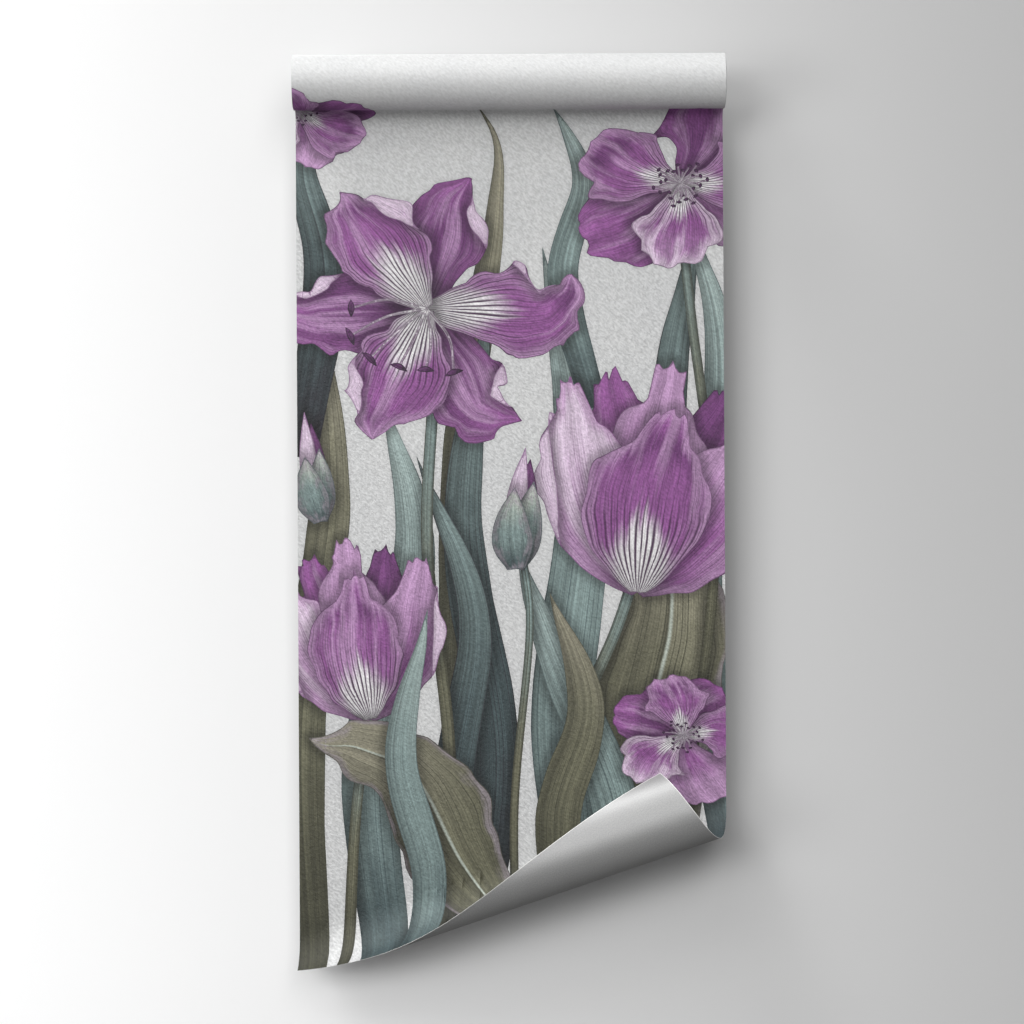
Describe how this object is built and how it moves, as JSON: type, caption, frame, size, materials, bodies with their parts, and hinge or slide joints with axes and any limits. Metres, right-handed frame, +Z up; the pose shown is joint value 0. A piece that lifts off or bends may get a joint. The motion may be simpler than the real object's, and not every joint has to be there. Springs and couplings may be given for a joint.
{
  "type": "partly unrolled wallpaper roll",
  "caption": "Roll of embossed wallpaper with a botanical print, partly unrolled: wound roll on top, flat drop hanging below it, bottom corner curled forward to show the plain back.",
  "frame": {"origin": "on the plain back face of the drop, in the middle of its width, 100 mm below the roll's axis", "axes": "+X to the right across the width, +Y towards the wall, +Z up along the drop"},
  "size_m": [0.532, 0.0875, 1.1282],
  "materials": {
    "wallpaper": "embossed matt paper, printed in purple, teal grey and olive on pale grey, with a plain off-white back"
  },
  "bodies": {
    "root": {"wallpaper": "wallpaper"}
  },
  "joints": []
}
